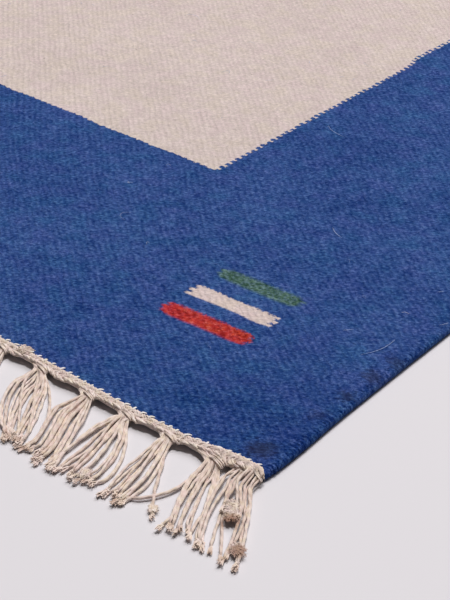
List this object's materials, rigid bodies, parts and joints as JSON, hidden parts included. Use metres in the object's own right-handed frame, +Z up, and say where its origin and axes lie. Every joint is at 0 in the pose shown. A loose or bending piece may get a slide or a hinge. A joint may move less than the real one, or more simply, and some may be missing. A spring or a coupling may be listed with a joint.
{
  "type": "flat-woven wool rug with knotted fringe",
  "caption": "Thin rectangular flat-woven wool rug lying flat, with a plaited heading and a row of yarn tassels along each short end.",
  "frame": {"origin": "middle of the underside, on the floor", "axes": "+X across the rug, +Y along its length, from the near fringe to the far one, +Z up out of its top face"},
  "size_m": [1.244, 1.912, 0.0056],
  "materials": {
    "woven_wool": "felted flat-woven wool, matt: royal blue border round an ivory field, with three short bars in each corner",
    "warp_yarn": "undyed plied wool yarn, matt, frayed at the tips"
  },
  "bodies": {
    "root": {"cloth": "woven_wool", "fringe_near": "warp_yarn", "fringe_far": "warp_yarn"}
  },
  "joints": []
}
